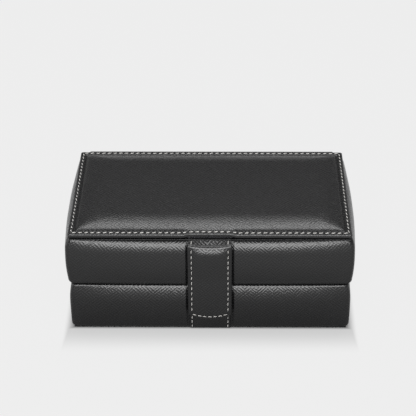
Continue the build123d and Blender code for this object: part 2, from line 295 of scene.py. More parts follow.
def embossed_leather(name, coordinate, roughness, grain_depth, straying, pore_share):
    """Cowhide split, dyed black, coated and pressed with a fine cross-hatch. Two sets of ridges cross at a
    slant and take turns to stand out in patches, so the coat glints in short strokes and dulls between."""
    ridge_pitch = 2.4 * mm  # the real ridges are about 1 mm apart, which is too fine to show
    slant = math.radians(48)
    stray_length = 9 * mm
    patch_length = 7 * mm
    pore_size = 1.6 * mm
    face_code = "#141415"
    # The grooves' colour is painted shade, darker than the face of the leather.
    painted_groove_shade = "#0a0a0b"
    material, tree, place, shader = new_material(name, face_code, coordinate)
    wander = add_node(tree, "TexNoise", {"Vector": place, "Scale": 1 / stray_length, "Detail": 2.0})
    shift = add_node(tree, "VectorMath", {0: wander.outputs["Color"], "Scale": straying}, operation="SCALE")
    moved = add_node(tree, "VectorMath", {0: place, 1: shift}, operation="ADD")
    ridges = []
    for way in (slant, -slant):
        turn = 2 * math.pi / ridge_pitch
        along = (turn * math.cos(way), turn * math.sin(way), turn * math.cos(way))
        phase = add_node(tree, "VectorMath", {0: moved, 1: along}, operation="DOT_PRODUCT")
        ridges.append(add_node(tree, "Math", {0: phase.outputs["Value"]}, operation="SINE"))
    patches = add_node(tree, "TexNoise", {"Vector": place, "Scale": 1 / patch_length, "Detail": 1.0})
    turns = add_node(tree, "MapRange", {"Value": patches, "From Min": 0.42, "From Max": 0.58})
    weave = add_node(tree, "Mix", {0: turns, 2: ridges[0], 3: ridges[1]})
    pores = add_node(tree, "TexNoise", {"Vector": place, "Scale": 1 / pore_size, "Detail": 2.0})
    height = add_node(tree, "Math", {0: pores, 1: pore_share, 2: weave}, operation="MULTIPLY_ADD")
    # The grooves of the hatch are painted darker than its ridges: painted shade in the recesses.
    face_share = add_node(tree, "MapRange", {"Value": weave, "From Min": -0.7, "From Max": 0.7})
    codes = {6: linear(painted_groove_shade), 7: linear(face_code)}
    colour = add_node(tree, "Mix", {0: face_share, **codes}, data_type="RGBA")
    limits = {"From Min": -1.0, "From Max": 1.0, "To Min": roughness + 0.16, "To Max": roughness - 0.05}
    dullness = add_node(tree, "MapRange", {"Value": weave, **limits})
    relief = add_node(tree, "Bump", {"Strength": 1.0, "Distance": grain_depth, "Height": height})
    feed(shader, {"Base Color": colour.outputs[2], "Roughness": dullness, "Normal": relief, "IOR": 1.7})
    return material


loose_grain = {"roughness": 0.25, "grain_depth": 0.06 * mm, "straying": 1.6 * mm, "pore_share": 2.6}
black_leather = embossed_leather("embossed_leather", "UV", **loose_grain)


def finish_piece(piece, material, slot, body, *replaced):
    """Gives a piece its material, puts it on its body, and lets it stand for CAD nodes. The slot is not used.
    """
    piece.data.materials.clear()
    piece.data.materials.append(material)
    if body:
        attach(piece, body)
    if replaced:
        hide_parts(*replaced)


upper_pads = ("upper_front_pad", "upper_left_pad", "upper_right_pad", "upper_back_pad")
finish_piece(upper_leather, black_leather, "black_leather", "case", *upper_pads)

# Padded band of the lower tier, behind the drawer front
# The same leather over foam on both sides and the back, turned in at the front edges, where the drawer
# front closes against it. It is glued to the boards behind it.
lower_low = 1.8 * mm
lower_gap = 1.3 * mm
lower_high = seam_level - lower_gap
lower_crown_run = 0.64
lower_foot_run = 0.085
lower_foot_share = 0.84
lower_edge_slope = math.radians(56)
lower_rows = 14
lower_side_crown = 4.0 * mm
drawer_crown = 4.2 * mm
band_front = -67.5 * mm


def straight_half(crown):
    """Half the straight length of a padded side between its rounded corners, at the front or the back."""
    return half_depth + skin + front_corner_share * crown - corner_radius


def turned_ends(points):
    """The grid with one more column at each end, turned in behind the edge column by the tuck."""
    ends = points[:, [0, -1]]
    ends[..., 0] = np.clip(ends[..., 0], tuck - half_width, half_width - tuck)
    return np.concatenate([ends[:, :1], points, ends[:, 1:]], 1)


lower_run = height_runs(lower_crown_run, lower_foot_run, lower_rows)
lower_form = (lower_crown_run, lower_foot_run, lower_foot_share, lower_edge_slope)
lower_share = bulge_share(lower_run, *lower_form)
side = outline_columns(1, np.linspace(band_front / straight_half(back_crown), 1, side_count), 0)
round_back = round_the_back(side, end_count, corner_count)
lower_crowns = (drawer_crown, lower_side_crown, back_crown)
band = padded_skin(round_back, lower_low, lower_high, lower_run, lower_share, lower_crowns, pad_wave)
band = turned_ends(tucked(band, lower_low, lower_high))
lower_leather = grid_piece("lower_leather", band, *unrolled(band))
lower_pads = ("lower_left_pad", "lower_right_pad", "lower_back_pad")
finish_piece(lower_leather, black_leather, "black_leather", "case", *lower_pads)

# Padded drawer front
# Leather over foam on a fibreboard front, rolled over the top edge into the seam. It carries the catch
# tab and closes against the lower band. Its edges are turned in behind and glued to the board.
board_back = -68.2 * mm
fold_in = 2.5 * mm
cheek_count = 4
cheek = outline_columns(1, np.linspace(board_back / straight_half(drawer_crown), -1, cheek_count), 0)
left_corner = outline_columns(-1, -1, between(180, 270, corner_count))
right_corner = outline_columns(1, -1, between(-90, 0, corner_count))
left_cheek = cheek[:-1] * [-1, 1, -1, 1]
drawer_columns = np.concatenate([left_cheek, left_corner, front_columns, right_corner, cheek[-2::-1]])
drawer_crowns = (drawer_crown, lower_side_crown, drawer_crown)
front = padded_skin(drawer_columns, lower_low, lower_high, lower_run, lower_share, drawer_crowns, pad_wave)
front = pressed(front, lower_share)
edges = front[[0, 0, -1, -1]]
edges[..., 1] = board_back
edges[..., 2] = [[lower_low + fold_in], [lower_low], [lower_high], [lower_high - fold_in]]
front = turned_ends(np.concatenate([edges[:2], front, edges[2:]]))
front[:, [0, -1], 1] = board_back
drawer_leather = grid_piece("drawer_front_leather", front, *unrolled(front))
finish_piece(drawer_leather, black_leather, "black_leather", "drawer", "drawer_front_pad")

# Lid cover
# The same leather is pulled over a board with a low foam crown on it and glued underneath. A hem is sewn
# all round its edge with pale thread, the crown swells out of the crease inside the hem, and the front hem
# rises a little where it lies over the strap.
lid_half = 127.0 * mm
lid_front = 75.1 * mm
lid_back = 73.7 * mm
half_lid_depth = (lid_front + lid_back) / 2
lid_underside = 99.3 * mm
lid_corner = 1.8 * mm
crown_corner = 14 * mm
crease = 6.2 * mm
crease_rise = 1.0 * mm
crown_reach = 24.0 * mm
crown_rise = 4.3 * mm
crown_rows = 25
flat_rows = 8
hem_lift = 1.1 * mm
lifted_half = 24 * mm
lift_fade = 5 * mm
lift_start = 3 * mm
lift_depth = 6 * mm
slack_depth = 0.12 * mm
slack_fade = 10 * mm
rise_power = 1.15
rise_steepness = 22
outer_edge = 1 * mm
lid_end_count = 121
lid_side_count = 61
lid_corner_count = 7


def stacked_loops(columns, inset, level, corner, half, front, back):
    """The grid of a piece built of rounded rectangles, each at its own level and inset from the outline."""
    across, deep, facing_x, facing_y = columns.T
    inset = inset[:, None]
    corner = corner[:, None]
    x = across * (half - inset - corner) + corner * facing_x
    middle = (back - front) / 2
    y = middle + deep * ((back + front) / 2 - inset - corner) + corner * facing_y
    return np.stack(np.broadcast_arrays(x, y, level[:, None]), -1)


# The edge's profile in mm: how far in from the outline, and how high. It is turned in below, round at the
# rim, flat over the hem and goes down into the crease.
edge_profile = [
    (4.4, 0.6),
    (4.2, -0.1),
    (0.8, -0.1),
    (0.3, 0.0),
    (0.05, 0.3),
    (0.0, 0.8),
    (0.0, 2.1),
    (0.05, 2.6),
    (0.2, 3.0),
    (0.5, 3.3),
    (0.9, 3.5),
    (1.5, 3.62),
    (2.3, 3.6),
    (3.1, 3.48),
    (4.2, 3.6),
    (5.0, 3.4),
    (5.4, 2.95),
    (5.8, 2.66),
    (6.1, 2.66),
]
edge_inset, edge_rise = np.array(edge_profile).T * mm
edge_level = lid_underside + edge_rise
rise = np.linspace(0, 1, crown_rows + 1)[1:] ** rise_power
crown_inset = crease + crown_reach * rise
crown_level = edge_level[-1] + crease_rise * (1 - np.exp(-rise * rise_steepness))
crown_level = crown_level + crown_rise * (1 - (1 - rise) ** 2)
flat_inset = np.linspace(crown_inset[-1], half_lid_depth, flat_rows + 1)[1:]
inset = np.concatenate([edge_inset, crown_inset, flat_inset])
level = np.concatenate([edge_level, crown_level, np.full(flat_rows, crown_level[-1])])
growing = np.linspace(lid_corner, crown_corner, crown_rows + 2)
corner = np.full(len(edge_inset) - 2, lid_corner)
corner = np.concatenate([corner, growing, np.linspace(crown_corner, 0, flat_rows)])
corner = np.minimum(corner, half_lid_depth - inset)
lid_ends = outline_columns(np.linspace(-1, 1, lid_end_count), -1, -90)
lid_side = outline_columns(1, np.linspace(-1, 1, lid_side_count), 0)
lid_columns = all_round(lid_ends, lid_side, lid_end_count, lid_corner_count)
cover = stacked_loops(lid_columns, inset, level, corner, lid_half, lid_front, lid_back)


def hem_rise(x, y):
    """How far the front hem is lifted by the strap below it: a flat-topped bump across the strap's width
    that fades out over the crease."""
    bump = eased((lifted_half - np.abs(x)) / lift_fade)
    fade = eased((y + lid_front - lift_start) / lift_depth)
    return hem_lift * bump * (1 - fade)


x, y, z = cover[..., 0], cover[..., 1], cover[..., 2]
slack = np.sin(31 * x + 1) * np.sin(47 * y + 2) + 0.6 * np.sin(83 * x - 29 * y)  # slow uneven waves
on_crown = np.clip((inset[:, None] - crease) / slack_fade, 0, 1)
cover[..., 2] = z + hem_rise(x, y) + slack_depth * slack * on_crown
drop = (cover[..., 2].max() - cover[..., 2]) * (inset[:, None] < outer_edge)
unrolled_x = closed_ring(x + np.sign(x) * drop)
unrolled_y = closed_ring(y + np.sign(y) * drop)
lid_cover = grid_piece("lid_leather", cover, unrolled_x, unrolled_y, ring=True)


def merge_doubles(piece, distance=0.01 * mm):
    """Joins the points of a mesh that lie in one place, so that seams and poles are closed."""
    shape = bmesh.new()
    shape.from_mesh(piece.data)
    bmesh.ops.remove_doubles(shape, verts=shape.verts, dist=distance)
    bmesh.ops.dissolve_degenerate(shape, edges=shape.edges, dist=distance)
    shape.to_mesh(piece.data)
    shape.free()


# The leather is drawn tight here, which flattens the cross-hatch and pulls it askew, so the gloss is calmer.
tight_grain = {"roughness": 0.27, "grain_depth": 0.028 * mm, "straying": 3.4 * mm, "pore_share": 9.0}
tight_leather = embossed_leather("embossed_leather_drawn_tight", "UV", **tight_grain)
merge_doubles(lid_cover)
finish_piece(lid_cover, tight_leather, "black_leather", "lid", "lid_cover", "lid_foam")

# Stitches round the lid's hem
# Pale waxed polyester thread, twisted of three plies and about half a millimetre thick. The lockstitch
# shows as short slanted beads that sink into the leather at both ends.
stitch_inset = 3.1 * mm
stitch_length = 3.6 * mm
thread_thickness = 0.85 * mm  # drawn thicker than the thread, so that it shows
ply_width = 0.5 * mm
bead_sides = 6
hem_slant = math.radians(-14)
hem_top = lid_underside + 3.5 * mm
hem_counts = (45, 24, 45, 24)  # front, right, back and left

# The plies give the thread small pale and grey dashes and a soft shine.
waxed_thread, tree, place, shader = new_material("waxed_polyester_thread", "#cfcdc8")
plies = add_node(tree, "TexNoise", {"Vector": place, "Scale": 1 / ply_width, "Detail": 1.0})
twist = add_node(tree, "Mix", {0: plies, 6: linear("#b4b2ae"), 7: linear("#e6e4e0")}, data_type="RGBA")
relief = add_node(tree, "Bump", {"Strength": 0.6, "Distance": 0.1 * mm, "Height": plies})
feed(shader, {"Base Color": twist.outputs[2], "Normal": relief, "Roughness": 0.55, "Sheen Weight": 0.2})


def stitch_row(name, places, along, outward, length, thickness, slant, body):
    """Short beads of thread: each is an ellipsoid drawn out along the seam, turned across it by the slant,
    and sunk by a third of its thickness. Places, along and outward are arrays with one row for each bead."""
    turn = np.linspace(0, math.pi, bead_sides + 1)
    ring = np.linspace(0, 2 * math.pi, bead_sides + 1)[:-1]
    along = along / np.linalg.norm(along, axis=1)[:, None]
    outward = outward / np.linalg.norm(outward, axis=1)[:, None]
    beside = np.cross(along, outward)
    along = along * math.cos(slant) + beside * math.sin(slant)
    beside = np.cross(along, outward)
    run = -np.cos(turn)[:, None] * length / 2 * np.ones(bead_sides)
    girth = np.sin(turn)[:, None] ** 0.6 * thickness / 2
    side = girth * np.cos(ring)
    lift = girth * np.sin(ring) + thickness / 6
    bead = [axis[:, None, None, :] for axis in (along, beside, outward)]
    points = places[:, None, None, :] + run[None, ..., None] * bead[0]
    points = points + side[None, ..., None] * bead[1] + lift[None, ..., None] * bead[2]
    row, column = np.meshgrid(np.arange(bead_sides), np.arange(bead_sides), indexing="ij")
    here = row * bead_sides
    after = (column + 1) % bead_sides
    quad = [here + column, here + after, here + bead_sides + after, here + bead_sides + column]
    first = np.arange(len(places)) * bead_sides * (bead_sides + 1)
    faces = np.stack(quad, -1).reshape(1, -1, 4)[..., ::-1] + first[:, None, None]
    mesh = bpy.data.meshes.new(name)
    mesh.from_pydata(points.reshape(-1, 3).tolist(), [], faces.reshape(-1, 4).tolist())
    piece = placed(name, mesh)
    merge_doubles(piece)
    mesh.shade_smooth()
    finish_piece(piece, waxed_thread, None, body)


x_line = lid_half - stitch_inset
front_line = stitch_inset - lid_front
back_line = lid_back - stitch_inset
turns = np.array([(-x_line, front_line), (x_line, front_line), (x_line, back_line), (-x_line, back_line)])
places = []
along = []
for start, end, count in zip(turns, np.roll(turns, -1, 0), hem_counts):
    step = (np.arange(count) + 0.5)[:, None] / count
    places.append(start + (end - start) * step)
    along.append(np.tile((*(end - start), 0), (count, 1)))
places = np.concatenate(places)
stitch_level = hem_top + hem_rise(places[:, 0], places[:, 1])
places = np.column_stack([places, stitch_level])
upward = np.tile((0.0, 0, 1), (len(places), 1))
stitch_row(
    "lid_stitches", places, np.concatenate(along), upward, stitch_length, thread_thickness, hem_slant, "lid"
)

# Closing strap
# Two layers of the leather, stuck back to back and sewn along both sides and round the end, with a
# stiffener and a thin pad in the flap and none in the link. It is held under the lid, stands out over the
# front, and folds down at a crease above the pad.
anchor_y = -63.4 * mm
root_y = -75.9 * mm
root_z = 98.6 * mm
fold_y = -81.6 * mm
fold_z = 95.0 * mm
flap_end = 16.5 * mm
flap_corner_rise = 4.0 * mm
rise_top = 60 * mm
link_thickness = 1.4 * mm
flap_thickness = 2.6 * mm
thickening = 2.4 * mm
flap_swell = 3.2 * mm
swell_lead = 1.7 * mm
swell_length = 10.0 * mm
swell_loss = 0.5
loss_length = 30 * mm
crease_sag = 1.8 * mm
sag_reach = 5 * mm
strap_end_roll = 0.9 * mm
path_step = 0.3 * mm
path_rounding = 0.7 * mm
level_points = 60
closing_points = 4
strap_stitch_line = 16.4 * mm
groove_width = 0.7 * mm
strap_groove = 0.16 * mm


def rounded_path(corners, step, rounding):
    """Points along straight runs between corners, at even steps, with the corners rounded by a running
    mean over twice the rounding. The two ends stay where they are."""
    corners = np.asarray(corners)
    length = travelled(corners[None], 1)[0]
    place = np.linspace(0, length[-1], int(round(length[-1] / step)) + 1)
    path = np.stack([np.interp(place, length, axis) for axis in corners.T], 1)
    width = int(rounding / step)
    smooth = path.copy()
    for axis in range(path.shape[1]):
        padded = np.pad(path[:, axis], width, mode="reflect", reflect_type="odd")
        smooth[:, axis] = np.convolve(padded, np.full(2 * width + 1, 1 / (2 * width + 1)), "valid")
    return smooth


def strip_columns(half, across_count, edge_count):
    """The cross-section of a strip, going round: its back, one edge, its face and the other edge. Each
    column is a place across the width, its share of the rounded edge, and a share from -1 (back) to 1."""
    width = np.linspace(-1, 1, across_count)
    turn = between(-math.pi / 2, math.pi / 2, edge_count)
    x = np.concatenate([width, 1 + 0 * turn, -width, -1 + 0 * turn])
    bulge = np.concatenate([0 * width, np.cos(turn), 0 * width, -np.cos(turn)])
    share = np.concatenate([-1 + 0 * width, np.sin(turn), 1 + 0 * width, -np.sin(turn)])
    return x * half, bulge, share


def rolled_ends(length, end_roll):
    """The share of its thickness that a strip has along its length: all of it, but closing over end_roll
    as a quarter ellipse at both ends."""
    near_end = np.clip(np.minimum(length, length[-1] - length) / end_roll, 0, 1)
    return np.sqrt(1 - (1 - near_end) ** 2)[:, None]


def leather_strip(path, half, face, back, section, end_roll):
    """A grid for a strip: its cross-section is carried along a path of (y, z) points, standing off it by
    face on one side and by back on the other, and closed at both ends."""
    x, bulge, share = section
    way = np.gradient(path, axis=0)
    way = way / np.linalg.norm(way, axis=1)[:, None]
    outward = np.stack([way[:, 1], -way[:, 0]], 1)
    length = travelled(path[None], 1)[0]
    closed = rolled_ends(length, end_roll)
    offset = np.where(share > 0, share * face, share * back) * closed
    edge = np.minimum(face, back) * bulge * closed
    width = (half - np.max(np.minimum(face, back))) / half
    grid = np.empty((len(path), len(x), 3))
    grid[..., 0] = x * width + edge
    grid[..., 1] = path[:, :1] + outward[:, :1] * offset
    grid[..., 2] = path[:, 1:] + outward[:, 1:] * offset
    return grid, length


def ring_girth(points):
    """The distance round each row of a ring, with the closing step at its end."""
    return travelled(closed_ring(points), 1)


def bell(distance, width):
    """A bell curve: 1 at no distance, and little beyond twice the width."""
    return np.exp(-((distance / width) ** 2))


strap_corners = [(anchor_y, root_z), (root_y, root_z), (fold_y, fold_z), (fold_y, flap_end)]
strap_path = rounded_path(strap_corners, path_step, path_rounding)
strap_length = travelled(strap_path[None], 1)[0]
fold_length = np.interp(-fold_z, -strap_path[level_points:, 1], strap_length[level_points:])
section = strip_columns(strap_half, across_count=33, edge_count=5)
strap_x = section[0]
from_fold = (strap_length - fold_length)[:, None]
below_crease = from_fold + swell_lead + 0 * strap_x
half_thickness = (link_thickness + (flap_thickness - link_thickness) * eased(below_crease / thickening)) / 2
# The pad's face leaves the crease as a circle's arc, and falls away below it to half its swell.
left_to_swell = np.clip(1 - below_crease / swell_length, 0, 1)
swell = arc_share(left_to_swell, 2 * math.atan(flap_swell / swell_length))
swell = swell * (1 - swell_loss * eased((below_crease - swell_length) / loss_length))
face = half_thickness + flap_swell * swell * (1 - (strap_x / strap_half) ** 4)
face = face - strap_groove * bell(np.abs(strap_x) - strap_stitch_line, groove_width)
strap, strap_run = leather_strip(strap_path, strap_half, face, half_thickness, section, strap_end_roll)


def end_rise(x, z):
    """How far a point of the flap is lifted by the curve of its end: a parabola across the width, full at
    the end and fading out towards the middle of the flap."""
    fade = eased((rise_top - z) / (rise_top - flap_end))
    return flap_corner_rise * (x / strap_half) ** 2 * fade


strap[..., 2] += end_rise(strap[..., 0], strap[..., 2])
strap[..., 2] -= crease_sag * (1 - (strap[..., 0] / strap_half) ** 2) * bell(from_fold, sag_reach)
strap_leather = grid_piece("strap_leather", strap, ring_girth(strap), strap_run[:, None], ring=True)
merge_doubles(strap_leather)
strap_nodes = ("strap_anchor", "flap_leather", "flap_lining")
finish_piece(strap_leather, black_leather, "black_leather", None, *strap_nodes)
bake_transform(strap_leather)

# Stitches of the strap
# The same thread, in a seam close to each side and round the end of the flap. One stitch on each side
# shows on the link, above the crease.
strap_stitch_length = 3.4 * mm
strap_thread = 0.7 * mm
strap_slant = math.radians(4)
side_high = 90.4 * mm
side_low = 22.5 * mm
side_step = 5.7 * mm
end_stitches = 7
end_line = strap_stitch_line - 2.4 * mm
end_margin = 3.4 * mm
stitch_sink = 0.1 * mm
link_share = 0.55


def both_sides(places):
    """Places on the right side, and the same on the left."""
    return np.concatenate([places * [-1, 1, 1], places])


side_z = np.arange(side_high, side_low, -side_step)
sewn_column = np.argmin(np.abs(strap_x - strap_stitch_line) + strap_half * (section[2] < 1))
sewn_line = strap[level_points:-closing_points, sewn_column]
side_y = np.interp(-side_z, -sewn_line[:, 2], sewn_line[:, 1])
side_places = both_sides(np.stack([strap_stitch_line + 0 * side_z, side_y, side_z], 1))
end_x = np.linspace(-1, 1, end_stitches) * end_line
end_swell = flap_swell * swell_loss * (1 - (end_x / strap_half) ** 4)
end_y = fold_y - flap_thickness / 2 - end_swell + stitch_sink
end_z = flap_end + end_margin + flap_corner_rise * (end_x / strap_half) ** 2
end_way = np.stack([1 + 0 * end_x, 0 * end_x, 2 * flap_corner_rise * end_x / strap_half**2], 1)
places = np.concatenate([side_places, np.stack([end_x, end_y, end_z], 1)])
along = np.concatenate([np.tile((0.0, 0, 1), (len(side_places), 1)), end_way])
facing = np.tile((0.0, -1, 0), (len(places), 1))
strap_stitch = (strap_stitch_length, strap_thread, strap_slant)
stitch_row("flap_stitches", places, along, facing, *strap_stitch, "strap_flap")
link_way = np.array([[0, fold_y - root_y, fold_z - root_z]])
link_facing = np.cross([[-1, 0, 0]], link_way) / np.linalg.norm(link_way)
link_root = np.array([[strap_stitch_line, root_y, root_z]])
link_places = both_sides(link_root + link_share * link_way + link_thickness / 2 * link_facing)
link_ways = both_sides(link_way)
stitch_row("link_stitches", link_places, link_ways, both_sides(link_facing), *strap_stitch, "lid")

# Catch tab
# A strip of the same leather with a steel plate behind it, which holds the magnet in the flap. It is
# glued under the foot of the drawer front, follows the padding up behind the flap, and is sewn at both sides.
tab_half = 18.5 * mm
tab_top = 36.5 * mm
tab_standoff = 0.1 * mm
tab_thickness = 1.6 * mm
tab_groove = 0.15 * mm
tab_roll_share = 0.03
tab_rows = 50
lower_height = lower_high - lower_low
tab_x, tab_bulge, tab_share = strip_columns(tab_half, across_count=25, edge_count=3)
tab_run = np.linspace(0, (tab_top - lower_low) / lower_height, tab_rows)
tab_columns = outline_columns(tab_x / (half_width + skin - corner_radius), -1, -90)
tab_form = bulge_share(tab_run, *lower_form)
tab = padded_skin(tab_columns, lower_low, lower_high, tab_run, tab_form, drawer_crowns)
closed = rolled_ends(tab_run, tab_run[-1] * tab_roll_share)
groove = bell(np.abs(tab_x) - strap_stitch_line, groove_width) * (tab_share > 0)
tab[..., 0] = tab_x * (1 - tab_thickness / 2 / tab_half) + tab_bulge * tab_thickness / 2 * closed
tab[..., 1] -= tab_standoff + tab_thickness * (1 + tab_share * closed) / 2 - tab_groove * groove
tab_leather = grid_piece("tab_leather", tab, ring_girth(tab), travelled(tab, 0)[:, :1], ring=True)
merge_doubles(tab_leather)
finish_piece(tab_leather, black_leather, "black_leather", "drawer", "catch_tab")

tab_stitch_length = 3.0 * mm
tab_thread = 0.6 * mm
sewn = np.arange(0.09, 0.75, 0.1045)  # shares of the tier's height, so a stitch every 4.8 mm
sewn_column = np.argmin(np.abs(tab_x - strap_stitch_line) + tab_half * (tab_share < 1))
seam_y = np.interp(sewn, tab_run, tab[:, sewn_column, 1])
seam_z = lower_low + sewn * lower_height
seam_way = np.stack([0 * sewn, np.gradient(seam_y), np.gradient(seam_z)], 1)
seam_out = np.stack([0 * sewn, -seam_way[:, 2], seam_way[:, 1]], 1)
places = both_sides(np.stack([strap_stitch_line + 0 * sewn, seam_y, seam_z], 1))
tab_stitch = (tab_stitch_length, tab_thread, strap_slant)
stitch_row("tab_stitches", places, both_sides(seam_way), both_sides(seam_out), *tab_stitch, "drawer")

# Leather hinge
# One wide strip of the leather is glued to the back edge of the lid and to the back of the case, and is
# pressed thinner along the line between them, where it would bend as the lid opens. It is as wide as the
# lid less a finger's width at each side.
hinge_half = 118.0 * mm
hinge_face = 74.9 * mm
hinge_low = 91.3 * mm
hinge_high = 102.8 * mm
hinge_thickness = 1.2 * mm
hinge_rows = 47
hinge_end_roll = 0.6 * mm
case_top = 98.6 * mm
case_step = 1.2 * mm
case_backing = 1.15 * mm
fold_level = 99.0 * mm
fold_width = 0.7 * mm
fold_press_out = 0.25 * mm
fold_press_in = 0.2 * mm
hinge_z = np.linspace(hinge_high, hinge_low, hinge_rows)
hinge_path = np.stack([hinge_thickness / 2 - hinge_face + 0 * hinge_z, hinge_z], 1)
hinge_section = strip_columns(hinge_half, across_count=95, edge_count=5)
case_side = eased((case_top - hinge_z) / case_step)[:, None]
fold = bell(hinge_z - fold_level, fold_width)[:, None]
flat = hinge_thickness / 2 + 0 * hinge_section[0]
face = flat - fold_press_out * fold
back = flat + case_backing * case_side - fold_press_in * fold
hinge, hinge_run = leather_strip(hinge_path, hinge_half, face, back, hinge_section, hinge_end_roll)
hinge[..., :2] *= -1
hinge_leather = grid_piece("hinge_leather", hinge, ring_girth(hinge), hinge_run[:, None], ring=True)
merge_doubles(hinge_leather)
finish_piece(hinge_leather, black_leather, "black_leather", None, "hinge_leaf_case", "hinge_leaf_lid")
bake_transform(hinge_leather)

# Leather trim on the rim of the well
# A strip of the leather folded over the edge of the boards all round the opening, and a lower one along
# the front, where the strap passes. Its long edges are worn round.


def merged_copy(name, rounding, material, slot, body):
    """A copy of a CAD node's mesh, joined at its seams, cleared of needless edges and rounded along the
    edges that are left. It stands for the node."""
    mesh = nodes[name].data.copy()
    piece = placed(name + "_dressed", mesh)
    merge_doubles(piece)
    shape = bmesh.new()
    shape.from_mesh(mesh)
    bmesh.ops.dissolve_limit(shape, angle_limit=math.radians(1), verts=shape.verts, edges=shape.edges)
    shape.to_mesh(mesh)
    shape.free()
    mesh.shade_smooth()
    edges = piece.modifiers.new("edges", "BEVEL")
    edges.width = rounding
    edges.segments = 3
    edges.limit_method = "ANGLE"
    edges.angle_limit = math.radians(40)
    edges.harden_normals = True
    finish_piece(piece, material, slot, body, name)


# The trim shows the same glossy cross-hatch, laid out from the place of each point.
leather_trim = embossed_leather("embossed_leather_trim", "Object", **loose_grain)
for name, rounding in (("rim_trim", 0.3 * mm), ("front_rim_trim", 0.12 * mm)):
    merged_copy(name, rounding, leather_trim, "black_leather", "case")

# Suede lining, floor and dividers of the watch well, and the lid's lining
# Charcoal microfibre suede is glued over thin board. The nap lies in soft patches that catch the light,
# and the wrapped top edges of the dividers are round.
lining_rounding = 0.2 * mm
well_divider_rounding = 1.0 * mm


def napped_cloth(name, low_code, high_code, sheen, fibre, nap):
    """Brushed cloth: short fibres scatter light at a glancing angle, their tips show as fine specks, and
    the nap lies one way or another in patches some millimetres across."""
    material, tree, place, shader = new_material(name, high_code)
    tips = add_node(tree, "TexNoise", {"Vector": place, "Scale": 1 / fibre, "Detail": 4.0, "Roughness": 0.7})
    lie = add_node(tree, "TexNoise", {"Vector": place, "Scale": 1 / nap, "Detail": 2.0})
    mottle = add_node(tree, "Math", {0: lie, 1: 0.9, 2: tips}, operation="MULTIPLY_ADD")
    share = add_node(tree, "MapRange", {"Value": mottle, "From Min": 0.6, "From Max": 1.25})
    codes = {6: linear(low_code), 7: linear(high_code)}
    colour = add_node(tree, "Mix", {0: share, **codes}, data_type="RGBA")
    relief = add_node(tree, "Bump", {"Strength": 0.8, "Distance": 0.25 * mm, "Height": tips})
    fuzz = {"Sheen Weight": sheen, "Sheen Roughness": 0.45, "Sheen Tint": linear("#c9c9cc")}
    feed(shader, {"Base Color": colour.outputs[2], "Normal": relief, **fuzz})
    feed(shader, {"Roughness": 0.95, "Specular IOR Level": 0.2})
    return material


# Suede looks dull, with soft paler patches where the nap stands up.
suede_nap = {"sheen": 0.25, "fibre": 0.8 * mm, "nap": 9 * mm}
charcoal_suede = napped_cloth("charcoal_microfibre_suede", "#4a4a4d", "#5e5e62", **suede_nap)
for name in ("well_lining", "well_floor"):
    merged_copy(name, lining_rounding, charcoal_suede, "suede_lining", "case")
merged_copy("lid_lining", lining_rounding, charcoal_suede, "suede_lining", "lid")
dividers = ["long_divider"] + [f"{row}_divider_{number}" for row in ("slot", "front") for number in (1, 2, 3)]
for name in dividers:
    merged_copy(name, well_divider_rounding, charcoal_suede, "suede_lining", "case")

# Padded panel inside the lid
# Suede over soft foam on a card, glued to the lid's lining. It keeps watches from rattling, and swells
# between edges that are pulled down all round.
panel_low, panel_high = (np.array(corner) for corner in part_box("lid_inner_pad"))
panel_half = (panel_high[0] - panel_low[0]) / 2
panel_front, panel_back = -panel_low[1], panel_high[1]
half_deep = (panel_back + panel_front) / 2
# Its profile in mm from the card down: how far in from the edge, and how deep.
panel_profile = [
    (2.0, 0.0),
    (0.3, 0.0),
    (0.0, 0.2),
    (0.0, 0.7),
    (0.3, 1.2),
    (1.0, 1.7),
    (2.2, 2.1),
    (4.0, 2.5),
    (7.0, 2.9),
    (11.0, 3.2),
    (16.0, 3.45),
    (24.0, 3.65),
    (34.0, 3.8),
    (46.0, 3.85),
    (60.0, 3.9),
    (200.0, 3.9),
]
panel_inset, panel_depth = np.array(panel_profile).T * mm
panel_inset = np.minimum(panel_inset, half_deep)
panel_level = panel_high[2] - panel_depth
panel_corner = np.minimum(6 * mm, half_deep - panel_inset)
panel = stacked_loops(
    lid_columns, panel_inset, panel_level, panel_corner, panel_half, panel_front, panel_back
)[:, ::-1]
flat = closed_ring(panel)
lid_panel = grid_piece("lid_panel", panel, flat[..., 0], flat[..., 1], ring=True)
merge_doubles(lid_panel)
finish_piece(lid_panel, charcoal_suede, "suede_lining", "lid", "lid_inner_pad")

# Drawer tray
# Thin boards wrapped in black paper outside and lined with the suede inside, glued at the corners, with
# loose suede dividers for three small bays and one long one.
tray_rounding = 0.4 * mm
tray_divider_rounding = 0.6 * mm


def bonded_board(name, low_code, high_code, speck):
    """Pressed wood fibre under a thin skin: a dull even ground with short darker flecks."""
    material, tree, place, shader = new_material(name, high_code)
    flecks = {"Vector": place, "Scale": 1 / speck, "Detail": 5.0, "Roughness": 0.65}
    flecks = add_node(tree, "TexNoise", flecks)
    share = add_node(tree, "MapRange", {"Value": flecks, "From Min": 0.35, "From Max": 0.6})
    codes = {6: linear(low_code), 7: linear(high_code)}
    colour = add_node(tree, "Mix", {0: share, **codes}, data_type="RGBA")
    relief = add_node(tree, "Bump", {"Strength": 0.5, "Distance": 0.08 * mm, "Height": flecks})
    feed(shader, {"Base Color": colour.outputs[2], "Normal": relief, "Roughness": 0.7})
    return material


# The paper is matt and nearly black, and the fibres under it show as faint flecks.
black_board = bonded_board("black_paper_on_fibreboard", "#161617", "#242426", speck=1.5 * mm)
for part in ("side_left", "side_right", "back", "bottom", "front_board"):
    merged_copy(f"drawer_{part}", tray_rounding, black_board, "case_board", "drawer")
merged_copy("drawer_lining", lining_rounding, charcoal_suede, "suede_lining", "drawer")
for part in ("long_divider", "divider_1", "divider_2"):
    merged_copy(f"drawer_{part}", tray_divider_rounding, charcoal_suede, "suede_lining", "drawer")

